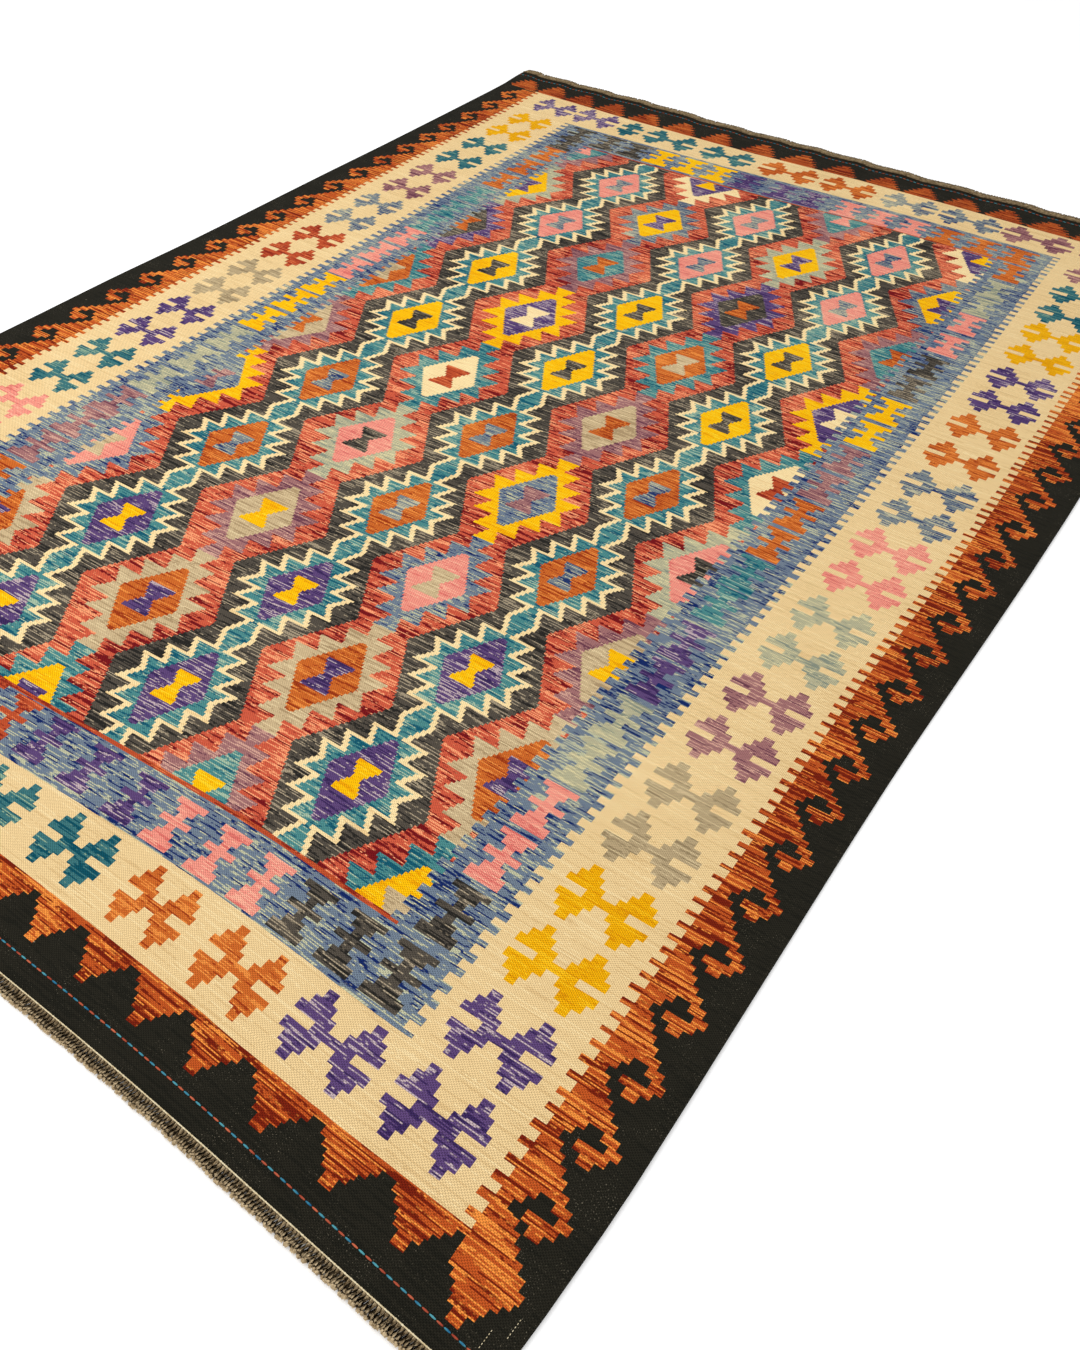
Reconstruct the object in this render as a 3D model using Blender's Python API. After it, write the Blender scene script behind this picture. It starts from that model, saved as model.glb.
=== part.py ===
"""A flat-woven wool rug with a short fringe at both ends, lying flat on the floor.

Metres, +Z up. X runs across the rug, the way the weft goes, and Y along it, the way the
warp goes. The origin is on the floor under the middle of the rug.
"""

from math import sin, tan, radians, tau

import bpy

# The cloth: selvedge to selvedge across, and one end to the other along
CLOTH_THICKNESS = 0.003
EDGE_STEP = 0.06

# Each selvedge wanders a little: its distance from the centre line, in metres
LEFT_SELVEDGE = (
    # along, out
    (-1.444, 1.003),
    (-0.954, 1.002),
    (-0.477, 1.000),
    (-0.204, 1.004),
    (0.068, 1.000),
    (0.477, 1.004),
    (0.749, 1.006),
    (1.022, 1.012),
    (1.294, 1.018),
    (1.446, 1.025),
)
RIGHT_SELVEDGE = (
    # along, out
    (-1.468, 0.971),
    (-1.362, 0.980),
    (-1.226, 0.987),
    (-0.954, 0.991),
    (-0.545, 0.997),
    (-0.136, 1.013),
    (0.136, 1.022),
    (0.545, 1.027),
    (1.392, 1.024),
)
# So do the ends, which were beaten in at a slight slope: their distance from the middle
NEAR_END = (
    # across, out
    (-1.003, 1.443),
    (-0.536, 1.445),
    (-0.127, 1.441),
    (0.281, 1.444),
    (0.418, 1.446),
    (0.554, 1.450),
    (0.690, 1.456),
    (0.826, 1.462),
    (0.971, 1.468),
)
FAR_END = (
    # across, out
    (-1.025, 1.446),
    (-0.809, 1.442),
    (-0.536, 1.438),
    (-0.332, 1.425),
    (-0.127, 1.421),
    (0.009, 1.420),
    (0.281, 1.409),
    (0.554, 1.407),
    (0.758, 1.398),
    (1.024, 1.392),
)

# Fringe: a narrow strip for the thread twined across the warps, then the cut warps in locks
CLEARANCE = 0.0003
STRIP_WIDTH = 0.003
STRIP_HEIGHT = 0.0028
LOCKS_PER_END = 150
LOCK_LENGTH = 0.0185
LOCK_LENGTH_WAVE = 0.0015
ROOT_SHARE = 0.72
TIP_SHARE = 0.60
TIP_HEIGHT = 0.0020
LEAN_DEG = 16
LEAN_WAVE_DEG = 7
LOCKS_PER_LEAN_WAVE = 11
LOCKS_PER_LENGTH_WAVE = 17
# The last lock at each side stays this far inside the corner of the cloth
SIDE_MARGIN = 0.004

WEAVE_COLOUR = (0.30, 0.10, 0.06, 1.0)
YARN_COLOUR = (0.31, 0.25, 0.16, 1.0)
WOOL_ROUGHNESS = 0.9


def clear_scene():
    for thing in list(bpy.data.objects):
        bpy.data.objects.remove(thing)


def wool(name, colour):
    material = bpy.data.materials.new(name)
    material.use_nodes = True
    shader = material.node_tree.nodes["Principled BSDF"]
    shader.inputs["Base Color"].default_value = colour
    shader.inputs["Roughness"].default_value = WOOL_ROUGHNESS
    shader.inputs["Metallic"].default_value = 0.0
    return material


def smooth(table, at):
    """The second column of a table at any value of the first, on a smooth curve."""
    rows = list(table)
    at = min(max(at, rows[0][0]), rows[-1][0])
    last = len(rows) - 1
    k = max(i for i in range(last) if rows[i][0] <= at)
    before, start, end, after = rows[max(k - 1, 0)], rows[k], rows[k + 1], rows[min(k + 2, last)]
    span = end[0] - start[0]
    share = (at - start[0]) / span
    slope_in = (end[1] - before[1]) / (end[0] - before[0]) * span
    slope_out = (after[1] - start[1]) / (after[0] - start[0]) * span
    return (
        start[1] * (1 + 2 * share) * (1 - share) ** 2
        + slope_in * share * (1 - share) ** 2
        + end[1] * share**2 * (3 - 2 * share)
        - slope_out * share**2 * (1 - share)
    )


def evenly(start, end, step):
    """Values from start to end, about a step apart, without the last one."""
    count = max(round(abs(end - start) / step), 1)
    return [start + (end - start) * i / count for i in range(count)]


def cloth_outline():
    """The cloth's edge seen from above, anticlockwise from the near left corner."""
    near_left, near_right = NEAR_END[0], NEAR_END[-1]
    far_left, far_right = FAR_END[0], FAR_END[-1]
    near = [(x, -smooth(NEAR_END, x)) for x in evenly(near_left[0], near_right[0], EDGE_STEP)]
    right = [(smooth(RIGHT_SELVEDGE, y), y) for y in evenly(-near_right[1], far_right[1], EDGE_STEP)]
    far = [(x, smooth(FAR_END, x)) for x in evenly(far_right[0], far_left[0], EDGE_STEP)]
    left = [(-smooth(LEFT_SELVEDGE, y), y) for y in evenly(far_left[1], -near_left[1], EDGE_STEP)]
    return near + right + far + left


def solid(name, points, faces, material):
    mesh = bpy.data.meshes.new(name)
    mesh.from_pydata(points, [], faces)
    mesh.validate()
    mesh.materials.append(material)
    thing = bpy.data.objects.new(name, mesh)
    bpy.context.collection.objects.link(thing)
    return thing


def make_cloth(material):
    edge = cloth_outline()
    count = len(edge)
    points = [(x, y, 0.0) for x, y in edge] + [(x, y, CLOTH_THICKNESS) for x, y in edge]
    faces = [tuple(reversed(range(count))), tuple(range(count, 2 * count))]
    for i in range(count):
        j = (i + 1) % count
        faces.append((i, j, count + j, count + i))
    return solid("rug_cloth", points, faces, material)


def lock_lean(i):
    """How far a lock leans sideways: neighbours lean in slow waves, so that none cross."""
    return radians(LEAN_DEG + LEAN_WAVE_DEG * sin(tau * i / LOCKS_PER_LEAN_WAVE))


def lock_length(i):
    return LOCK_LENGTH + LOCK_LENGTH_WAVE * sin(tau * i / LOCKS_PER_LENGTH_WAVE)


def make_fringe(name, end, side, material):
    """A strip along one end of the cloth with its locks fused to it.

    side is -1 at the near end and 1 at the far end. A station is a ring of four points
    across the strip: inner low, inner high, outer low and outer high.
    """
    left, right = end[0][0] + SIDE_MARGIN, end[-1][0] - SIDE_MARGIN
    pitch = (right - left) / LOCKS_PER_END
    root, tip = ROOT_SHARE * pitch, TIP_SHARE * pitch
    points, faces = [], []

    def face(*corners):
        faces.append(corners if side < 0 else tuple(reversed(corners)))

    def station(x):
        inner = side * (smooth(end, x) + CLEARANCE)
        outer = inner + side * STRIP_WIDTH
        first = len(points)
        points.extend(
            [(x, inner, 0.0), (x, inner, STRIP_HEIGHT), (x, outer, 0.0), (x, outer, STRIP_HEIGHT)]
        )
        return first

    def join(a, b, open_side):
        face(a + 2, a, b, b + 2)
        face(a + 1, a + 3, b + 3, b + 1)
        face(a, a + 1, b + 1, b)
        if not open_side:
            face(a + 3, a + 2, b + 2, b + 3)

    def lock(a, b, i):
        x = (points[a][0] + points[b][0]) / 2
        length = lock_length(i)
        reach = side * (smooth(end, x) + CLEARANCE + STRIP_WIDTH + length)
        middle = x - length * tan(lock_lean(i))
        tip_first = len(points)
        points.extend(
            [
                (middle - tip / 2, reach, 0.0),
                (middle - tip / 2, reach, TIP_HEIGHT),
                (middle + tip / 2, reach, 0.0),
                (middle + tip / 2, reach, TIP_HEIGHT),
            ]
        )
        low_a, high_a, low_b, high_b = (tip_first + k for k in range(4))
        face(low_a, a + 2, b + 2, low_b)
        face(a + 3, high_a, high_b, b + 3)
        face(a + 2, low_a, high_a, a + 3)
        face(low_b, b + 2, b + 3, high_b)
        face(low_a, low_b, high_b, high_a)

    first = station(left)
    face(first, first + 2, first + 3, first + 1)
    last = first
    for i in range(LOCKS_PER_END):
        middle = left + (i + 0.5) * pitch
        a, b = station(middle - root / 2), station(middle + root / 2)
        join(last, a, open_side=False)
        join(a, b, open_side=True)
        lock(a, b, i)
        last = b
    final = station(right)
    join(last, final, open_side=False)
    face(final + 1, final + 3, final + 2, final)
    return solid(name, points, faces, material)


def centre_on_origin(things):
    """Moves the whole rug so that the middle of its box stands over the origin."""
    corners = [corner.co for thing in things for corner in thing.data.vertices]
    across = (min(c.x for c in corners) + max(c.x for c in corners)) / 2
    along = (min(c.y for c in corners) + max(c.y for c in corners)) / 2
    for thing in things:
        thing.location = (-across, -along, 0.0)


def main():
    clear_scene()
    weave = wool("woven wool", WEAVE_COLOUR)
    yarn = wool("warp yarn", YARN_COLOUR)
    centre_on_origin(
        [
            make_cloth(weave),
            make_fringe("fringe_near", NEAR_END, -1, yarn),
            make_fringe("fringe_far", FAR_END, 1, yarn),
        ]
    )


main()
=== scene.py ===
# %% [markdown]
# # A flat-woven wool rug
# This lesson dresses the plain solids of a rug about two metres by three. The real one is a
# slit tapestry: strong warps run along its length, and dyed wool is packed down over them
# from side to side, so that only the wool shows. Each colour turns back where the next one
# starts, which is why every slope in the pattern is a stair of whole warps.

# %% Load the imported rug
from bisect import bisect_left
from math import pi, radians

import bpy
import numpy as np
from mathutils import Matrix, Vector
from mathutils.bvhtree import BVHTree


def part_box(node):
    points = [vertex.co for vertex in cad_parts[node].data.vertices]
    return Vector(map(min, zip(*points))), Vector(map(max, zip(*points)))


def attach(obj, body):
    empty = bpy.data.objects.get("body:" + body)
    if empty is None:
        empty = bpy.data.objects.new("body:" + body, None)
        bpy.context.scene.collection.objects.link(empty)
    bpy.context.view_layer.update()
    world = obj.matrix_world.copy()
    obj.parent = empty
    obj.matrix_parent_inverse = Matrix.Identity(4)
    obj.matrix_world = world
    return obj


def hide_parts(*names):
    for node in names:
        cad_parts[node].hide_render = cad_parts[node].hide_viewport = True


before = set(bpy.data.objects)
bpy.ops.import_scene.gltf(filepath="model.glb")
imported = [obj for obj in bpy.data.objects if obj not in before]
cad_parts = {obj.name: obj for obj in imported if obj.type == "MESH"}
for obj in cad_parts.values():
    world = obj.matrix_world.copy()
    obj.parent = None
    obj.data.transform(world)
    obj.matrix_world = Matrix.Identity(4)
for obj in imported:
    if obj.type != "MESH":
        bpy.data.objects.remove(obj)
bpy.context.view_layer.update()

print("nodes:", sorted(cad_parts))

# %% [markdown]
# ## The edge of the cloth
# A hand-woven rug is never a true rectangle. The selvedges wander as the weaver's tension
# changes, and the ends are beaten in at a slight slope. The four tables repeat the ones that
# the solid was made from, so the dressed cloth has the same outline. Each row gives a place
# and how far out the edge lies there, in metres. `smooth` reads a table on a smooth curve.

# %% The cloth's outline
LEFT_SELVEDGE = (
    (-1.444, 1.003), (-0.954, 1.002), (-0.477, 1.000), (-0.204, 1.004), (0.068, 1.000),
    (0.477, 1.004), (0.749, 1.006), (1.022, 1.012), (1.294, 1.018), (1.446, 1.025),
)
RIGHT_SELVEDGE = (
    (-1.468, 0.971), (-1.362, 0.980), (-1.226, 0.987), (-0.954, 0.991), (-0.545, 0.997),
    (-0.136, 1.013), (0.136, 1.022), (0.545, 1.027), (1.392, 1.024),
)
NEAR_END = (
    (-1.003, 1.443), (-0.536, 1.445), (-0.127, 1.441), (0.281, 1.444), (0.418, 1.446),
    (0.554, 1.450), (0.690, 1.456), (0.826, 1.462), (0.971, 1.468),
)
FAR_END = (
    (-1.025, 1.446), (-0.809, 1.442), (-0.536, 1.438), (-0.332, 1.425), (-0.127, 1.421),
    (0.009, 1.420), (0.281, 1.409), (0.554, 1.407), (0.758, 1.398), (1.024, 1.392),
)
CLOTH_THICKNESS = 0.003


def smooth(table, at):
    """The second column of a table at any value of the first, on a smooth curve."""
    at = min(max(at, table[0][0]), table[-1][0])
    last = len(table) - 1
    k = max(i for i in range(last) if table[i][0] <= at)
    before, start = table[max(k - 1, 0)], table[k]
    end, after = table[k + 1], table[min(k + 2, last)]
    span = end[0] - start[0]
    share = (at - start[0]) / span
    slope_in = (end[1] - before[1]) / (end[0] - before[0]) * span
    slope_out = (after[1] - start[1]) / (after[0] - start[0]) * span
    return (
        start[1] * (1 + 2 * share) * (1 - share) ** 2
        + slope_in * share * (1 - share) ** 2
        + end[1] * share**2 * (3 - 2 * share)
        - slope_out * share**2 * (1 - share)
    )


edge_low = (-max(out for _, out in LEFT_SELVEDGE), -max(out for _, out in NEAR_END))
cad_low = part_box("rug_cloth")[0]
SHIFT = (cad_low[0] - edge_low[0], cad_low[1] - edge_low[1])
print("tables to the rug's own frame:", [round(x, 4) for x in SHIFT])

# %% [markdown]
# ## The plan and the cloth
# A weaver works to a plan whose bands are straight and even, and the cloth that comes off
# the loom is not. So the pattern is charted on a straight plan, and a set of lines says where
# each band's edge came to lie in the woven rug. Places are read in a handy unit, the width
# between the inner edges of the two long cream bands: `u` runs across from the left band and
# `v` runs along from the near one.

# %% Lines of the plan
UNIT = 1.3624
MIDDLE = (0.4935, 0.900)


def across(u):
    return (u - MIDDLE[0]) * UNIT


def along(v):
    return (v - MIDDLE[1]) * UNIT


# plan u of each line that runs along the rug: rows of (v, u) in the woven cloth
LENGTHWAYS = {
    -0.1465: ((-0.09, -0.140), (0.65, -0.1423), (1.0, -0.1463), (1.4, -0.1528), (1.85, -0.163)),
    -0.001: ((0.0, 0.002), (0.45, 0.001), (0.7, 0.005), (1.0, 0.004), (1.65, -0.0095), (1.77, -0.013)),
    0.100: ((0.1, 0.115), (0.45, 0.112), (0.83, 0.108), (1.2, 0.100), (1.5, 0.0934)),
    0.2365: ((0.138, 0.2675), (0.337, 0.2625), (0.534, 0.2578), (0.74, 0.2545), (0.945, 0.2445),
             (1.158, 0.242), (1.371, 0.2387), (1.571, 0.2387)),
    0.373: ((0.07, 0.4113), (0.25, 0.405), (0.446, 0.3988), (0.647, 0.3953), (0.842, 0.3927),
            (1.06, 0.387), (1.272, 0.386), (1.476, 0.382), (1.683, 0.3733)),
    0.5095: ((0.17, 0.5363), (0.36, 0.534), (0.555, 0.5315), (0.754, 0.5275), (0.959, 0.524),
             (1.172, 0.5213), (1.579, 0.520)),
    0.646: ((0.08, 0.6613), (0.468, 0.6594), (0.865, 0.656), (1.278, 0.6527), (1.69, 0.650)),
    0.7825: ((0.185, 0.7806), (0.373, 0.783), (0.97, 0.782), (1.38, 0.7813), (1.58, 0.7767)),
    0.919: ((0.1, 0.908), (0.5, 0.909), (1.0, 0.913), (1.6, 0.914)),
    1.005: ((0.0, 0.9965), (0.35, 0.999), (1.0, 1.0127), (1.2, 1.0143), (1.7, 1.0125)),
    1.139: ((-0.09, 1.1264), (0.09, 1.1324), (0.35, 1.137), (0.6, 1.1407), (0.8, 1.149),
            (1.0, 1.1543), (1.3, 1.157), (1.85, 1.157)),
}
# plan v of each line that runs across it: rows of (u, v) in the woven cloth
CROSSWAYS = {
    -0.084: ((-0.14, -0.078), (0.3, -0.078), (0.6, -0.0795), (0.8, -0.0825), (0.9, -0.0875),
             (1.0, -0.0918), (1.12, -0.0948)),
    0.003: ((0.0, -0.002), (0.4, -0.002), (0.51, 0.0006), (0.6, 0.0036), (0.723, 0.0067),
            (0.844, 0.0048), (0.965, -0.0012), (1.1, -0.002)),
    0.077: ((0.0, 0.062), (0.374, 0.067), (0.58, 0.075), (0.75, 0.0805), (0.9, 0.0775), (1.1, 0.076)),
    1.691: ((0.1, 1.690), (0.45, 1.691), (0.6, 1.698), (0.75, 1.7025), (0.9, 1.700), (1.1, 1.697)),
    1.772: ((0.0, 1.771), (0.35, 1.7715), (0.45, 1.773), (0.6, 1.774), (0.75, 1.773), (0.95, 1.769)),
    1.868: ((-0.165, 1.884), (-0.05, 1.877), (0.0, 1.873), (0.1, 1.867), (0.35, 1.8625),
            (0.45, 1.865), (0.56, 1.8675), (0.7, 1.865), (0.8, 1.8625), (0.95, 1.858), (1.1, 1.856)),
}
PLAN_SIDE = 1.003
PLAN_NEAR, PLAN_FAR = -1.450, 1.419
left_to_right = sorted(LENGTHWAYS)
near_to_far = sorted(CROSSWAYS)
PLAN_X = [-PLAN_SIDE, *map(across, left_to_right), PLAN_SIDE]
PLAN_Y = [PLAN_NEAR, *map(along, near_to_far), PLAN_FAR]
print("the plan's lines:", len(PLAN_X), "along and", len(PLAN_Y), "across")

# %% Where the lines lie in the cloth
def lines_across(y):
    """Where the lengthways lines lie at this y, from the left selvedge to the right one."""
    v = y / UNIT + MIDDLE[1]
    inner = [across(smooth(LENGTHWAYS[u], v)) for u in left_to_right]
    return [-smooth(LEFT_SELVEDGE, y), *inner, smooth(RIGHT_SELVEDGE, y)]


def lines_along(x):
    """Where the crossways lines lie at this x, from the near end to the far one."""
    u = x / UNIT + MIDDLE[0]
    inner = [along(smooth(CROSSWAYS[v], u)) for v in near_to_far]
    return [-smooth(NEAR_END, x), *inner, smooth(FAR_END, x)]


def plan(u, v):
    """The place of the plan that came to lie at (u, v) in the woven cloth."""
    x, y = across(u), along(v)
    return float(np.interp(x, lines_across(y), PLAN_X)), float(np.interp(y, lines_along(x), PLAN_Y))


print("the middle of the cloth on the plan:", [round(x, 3) for x in plan(*MIDDLE)])

# %% [markdown]
# ## A chart of warps and courses
# The pattern could be a picture on a plane, but a picture blurs up close, where a tapestry
# shows clean stairs. So it is charted, like a weaver's cartoon on squared paper: a grid whose
# cells are one warp wide and one course high. Every motif is drawn into it from its own steps,
# in metres, and the grid rounds each edge to a whole warp. Later the chart becomes real faces,
# one yarn to a face, so the pattern is part of the mesh and stays crisp.

# %% An empty chart
WARP = 0.0023
RIB = 2 * WARP
COURSE = 0.0017
columns = round(2 * PLAN_SIDE / WARP)
courses = round((PLAN_FAR - PLAN_NEAR) / COURSE)
YARNS = (
    "black", "cream", "rust", "denim", "charcoal", "pink", "violet", "sage", "teal", "tangerine",
    "mauve", "yellow", "red", "ivory", "stone", "brick", "sea", "grey", "gold", "far rust", "petrol",
)
chart = np.zeros((columns, courses), np.uint8)
print("chart:", columns, "warps by", courses, "courses")

# %% The tools that fill it
def column(x):
    return min(max(round((x + PLAN_SIDE) / WARP), 0), columns)


def course(y):
    return min(max(round((y - PLAN_NEAR) / COURSE), 0), courses)


def weave(x0, x1, y0, y1, yarn):
    """Fills a block of the chart with one yarn."""
    (c0, c1), (r0, r1) = sorted((column(x0), column(x1))), sorted((course(y0), course(y1)))
    chart[c0:c1, r0:r1] = YARNS.index(yarn)


def blocks(x, y, steps, yarn, sx, sy):
    """Weaves a motif from its far side to its near side. Each step has a height and a span
    that is woven on both sides of x; sx and sy say how much wider and higher all of it is."""
    y += sy * sum(height for height, _, _ in steps) / 2
    for height, start, end in steps:
        for side in (-1, 1):
            weave(x + side * sx * start, x + side * sx * end, y, y - sy * height, yarn)
        y -= sy * height


def slope(x, y, up, sections, yarn):
    """Weaves a form that is even on both sides of x and leans in stairs of whole ribs.
    Each section has a height and its half width at the start and the end. up is the way it
    grows, scaled: 1 for its own height."""
    for height, start, end in sections:
        foot, top = y, y + up * height
        for r in range(course(min(foot, top)), course(max(foot, top))):
            share = (PLAN_NEAR + (r + 0.5) * COURSE - foot) / (top - foot)
            half = max(round((start + (end - start) * share) / RIB), 1) * RIB
            chart[column(x - half):column(x + half), r] = YARNS.index(yarn)
        y = top


print("a rib is", column(RIB) - column(0.0), "warps wide")

# %% [markdown]
# ## The field: medallions
# Three dark columns run up the field. Each is a chain of stepped medallions: charcoal outside,
# an ivory zigzag, a teal ground, a diamond and a small hourglass. The photo gives where each
# medallion's middle came to lie, and the next one starts half-way between. A medallion is
# drawn as two halves, so that a chain whose links are uneven still joins up.

# %% Medallions
HALF_LINK = 0.136
DARK_EDGE = ((0.136, 0.135, 0.053),)
ZIGZAG_OUTSIDE = (
    (0.0305, 0.080, 0.1016), (0.0335, 0.0625, 0.082), (0.035, 0.039, 0.0575), (0.037, 0.016, 0.034),
)
# the ivory line runs level for 5.5 mm at the foot of each tooth
ZIGZAG_INSIDE = (
    (0.025, 0.068, 0.086), (0.0055, 0.051, 0.051), (0.028, 0.051, 0.068), (0.0055, 0.028, 0.028),
    (0.0295, 0.028, 0.045), (0.0055, 0.0065, 0.0065), (0.037, 0.0065, 0.0235),
)
DIAMOND = ((0.087, 0.058, 0.006),)
HOURGLASS = ((0.025, 0.0072, 0.0235), (0.007, 0.0235, 0.0235))
CHAINS = {
    # plan u: middles of the medallions, far to near
    0.2365: (1.771, 1.5707, 1.3713, 1.1583, 0.9447, 0.7327, 0.5338, 0.337, 0.138, -0.062),
    0.5095: (1.779, 1.579, 1.3763, 1.1723, 0.9593, 0.7537, 0.555, 0.3603, 0.17, -0.03),
    0.7825: (1.782, 1.582, 1.3807, 1.1767, 0.9727, 0.7683, 0.567, 0.373, 0.185, -0.015),
}
MEDALLION = (DARK_EDGE, ZIGZAG_OUTSIDE, ZIGZAG_INSIDE, DIAMOND, HOURGLASS)
MEDALLION_YARNS = [
    ("charcoal", "ivory", "teal", diamond, hourglass)
    for how_many, diamond, hourglass in (
        (3, "pink", "sea"), (2, "yellow", "charcoal"), (2, "tangerine", "sea"), (3, "violet", "yellow"),
    )
    for _ in range(how_many)
]


def places(middles, u):
    """Where a column's middles lie on the plan, and half the way to its neighbours."""
    ys = [plan(smooth(LENGTHWAYS[u], v), v)[1] for v in middles]
    far = [ys[0] + 2 * HALF_LINK, *ys[:-1]]
    near = [*ys[1:], ys[-1] - 2 * HALF_LINK]
    return [(y, (a - y) / 2 / HALF_LINK, (b - y) / 2 / HALF_LINK) for y, a, b in zip(ys, far, near)]


def draw_column(u, middles, forms, yarns):
    """Weaves a column of motifs, each form in its own yarn, up and down from every middle."""
    for (y, up, down), chosen in zip(places(middles, u), yarns):
        for grow in (up, down):
            for form, yarn in zip(forms, chosen):
                slope(across(u), y, grow, form, yarn)


# %% [markdown]
# ## The field: red cells
# The diamonds of red ground between the chains hold a toothed ring, a diamond and an
# hourglass. Their colours follow two lists that alternate from column to column. Half cells
# stand along both sides of the field, cut by the guard band.

# %% Cells
RING = ((0.0335, 0.074, 0.098), (0.034, 0.052, 0.0755), (0.037, 0.030, 0.0465), (0.0315, 0.0085, 0.023))
CELL_DIAMOND = ((0.087, 0.0625, 0.006),)
CELL_HOURGLASS = ((0.027, 0.009, 0.0265), (0.007, 0.0265, 0.0265))
CELL = (RING, CELL_DIAMOND, CELL_HOURGLASS)
ODD_YARNS = (
    # ring, diamond, hourglass, far to near
    ("ivory", "violet", "yellow"), ("sea", "yellow", "violet"), ("mauve", "teal", "tangerine"),
    ("yellow", "violet", "ivory"), ("teal", "ivory", "brick"), ("sage", "pink", "charcoal"),
    ("mauve", "stone", "yellow"), ("stone", "tangerine", "violet"), ("teal", "yellow", "violet"),
)
EDGE_YARNS = (*ODD_YARNS[:-1], ("teal", "yellow", "stone"))
EVEN_YARNS = (
    ("mauve", "teal", "pink"), ("sage", "yellow", "violet"), ("violet", "charcoal", "tangerine"),
    ("teal", "tangerine", "stone"), ("mauve", "stone", "tangerine"), ("yellow", "denim", "mauve"),
    ("denim", "pink", "stone"), ("stone", "tangerine", "violet"), ("mauve", "teal", "yellow"),
)
CELLS = {
    # plan u: yarns, middles far to near
    0.100: (EVEN_YARNS, (1.683, 1.4657, 1.270, 1.045, 0.8333, 0.640, 0.430, 0.240, 0.045)),
    0.373: (ODD_YARNS, (1.683, 1.476, 1.272, 1.0577, 0.8417, 0.6473, 0.4463, 0.2506, 0.060)),
    0.646: (EVEN_YARNS, (1.690, 1.4777, 1.278, 1.0717, 0.865, 0.664, 0.4678, 0.2756, 0.0775)),
    0.919: (EDGE_YARNS, (1.690, 1.480, 1.280, 1.0733, 0.8733, 0.6647, 0.468, 0.2744, 0.080)),
}

chart[:] = YARNS.index("red")
for u, (yarns, middles) in CELLS.items():
    draw_column(u, middles, CELL, yarns)
for u, middles in CHAINS.items():
    draw_column(u, middles, MEDALLION, MEDALLION_YARNS)
medallions = sum(len(middles) for middles in CHAINS.values())
cells = sum(len(middles) for _, middles in CELLS.values())
print("field:", medallions, "medallions and", cells, "cells, some of them cut by the guard band")

# %% [markdown]
# ## The bands
# Round the field come a blue guard band, a cream band and a rust band on black. Along the
# sides the bands lock into each other in short combs, because two colours that met on one
# straight warp would leave a slit as long as the rug. Across the ends they simply follow each
# other, so those edges are plain lines.

# %% Bands and combs
rng = np.random.default_rng(7)
X_RUST_L, X_CREAM_L, X_CREAM_R, X_RUST_R = PLAN_X[1], PLAN_X[2], PLAN_X[10], PLAN_X[11]
Y_RUST_N, Y_CREAM_N, Y_FIELD_N, Y_FIELD_F, Y_CREAM_F, Y_RUST_F = PLAN_Y[1:7]
X_FIELD_L, X_FIELD_R = PLAN_X[3] - 0.010, PLAN_X[9] + 0.011
RED_LINE = 0.0055
COMB, TOOTH_PLAY = 0.0155, 0.0014


def ring(x0, x1, y0, y1, yarn):
    """Everything outside this block of the plan."""
    weave(-9, x0, -9, 9, yarn)
    weave(x1, 9, -9, 9, yarn)
    weave(x0, x1, -9, y0, yarn)
    weave(x0, x1, y1, 9, yarn)


def comb(x, inwards, y0, y1, yarn, tooth, pitch):
    """Teeth of one yarn that reach from the line at x half a comb out to half a comb in."""
    count = round((y1 - y0) / pitch)
    for i in range(count):
        y = y0 + (i + 0.5) * (y1 - y0) / count + rng.uniform(-TOOTH_PLAY, TOOTH_PLAY)
        reach = COMB / 2 + rng.choice((-1, 0, 0, 0, 1)) * WARP
        high = tooth + rng.uniform(-TOOTH_PLAY, TOOTH_PLAY)
        weave(x - inwards * COMB / 2, x + inwards * reach, y - high / 2, y + high / 2, yarn)


def band(x0, x1, y0, y1, ground, teeth, tooth, pitch):
    """A ring of ground round this block, with combs of the teeth's yarn along both sides."""
    ring(x0 - COMB / 2, x1 + COMB / 2, y0, y1, ground)
    comb(x0, 1, y0, y1, teeth, tooth, pitch)
    comb(x1, -1, y0, y1, teeth, tooth, pitch)


for y in (Y_FIELD_N + RED_LINE / 2, Y_FIELD_F - RED_LINE / 2):
    weave(-9, 9, y - RED_LINE / 2, y + RED_LINE / 2, "brick")
band(X_FIELD_L, X_FIELD_R, Y_FIELD_N, Y_FIELD_F, "denim", "denim", 0.0137, 0.0235)
print("guard band", round((X_CREAM_R - X_FIELD_R) * 1000), "mm wide")

# %% [markdown]
# ## Motifs of the guard band
# A small upright figure with a bar through its waist stands in rows and columns round the
# guard band. It is drawn once, from far to near, as steps with a half width each, and woven
# wider along the far end, where the band is wider too.

# %% Guard figures
FIGURE = (
    (0.0105, 0, 0.027), (0.0125, 0, 0.016), (0.0125, 0, 0.007), (0.0110, 0, 0.027),
    (0.0115, 0, 0.007), (0.0135, 0, 0.016), (0.0175, 0, 0.027),
)
RIGHT_FIGURES = (
    # yarn, plan v of each figure, far to near
    ("tangerine", 1.6635), ("sage", 1.5865, 1.517), ("pink", 1.449, 1.3665),
    ("charcoal", 1.2865, 1.213), ("yellow", 1.136, 1.062), ("mauve", 0.988, 0.9135),
    ("tangerine", 0.8406, 0.7676), ("teal", 0.698, 0.629), ("violet", 0.550, 0.479),
    ("sage", 0.406, 0.334), ("pink", 0.2635, 0.190), ("charcoal", 0.1155),
)
LEFT_FIGURES = (
    ("charcoal", 1.678), ("tangerine", 1.6126, 1.534, 1.4526), ("teal", 1.373, 1.297, 1.225),
    ("pink", 1.162, 1.0895, 1.0168), ("yellow", 0.948, 0.878, 0.805), ("sage", 0.732, 0.659, 0.585),
    ("mauve", 0.514, 0.447, 0.376), ("tangerine", 0.303, 0.230), ("violet", 0.157, 0.092),
)
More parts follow.
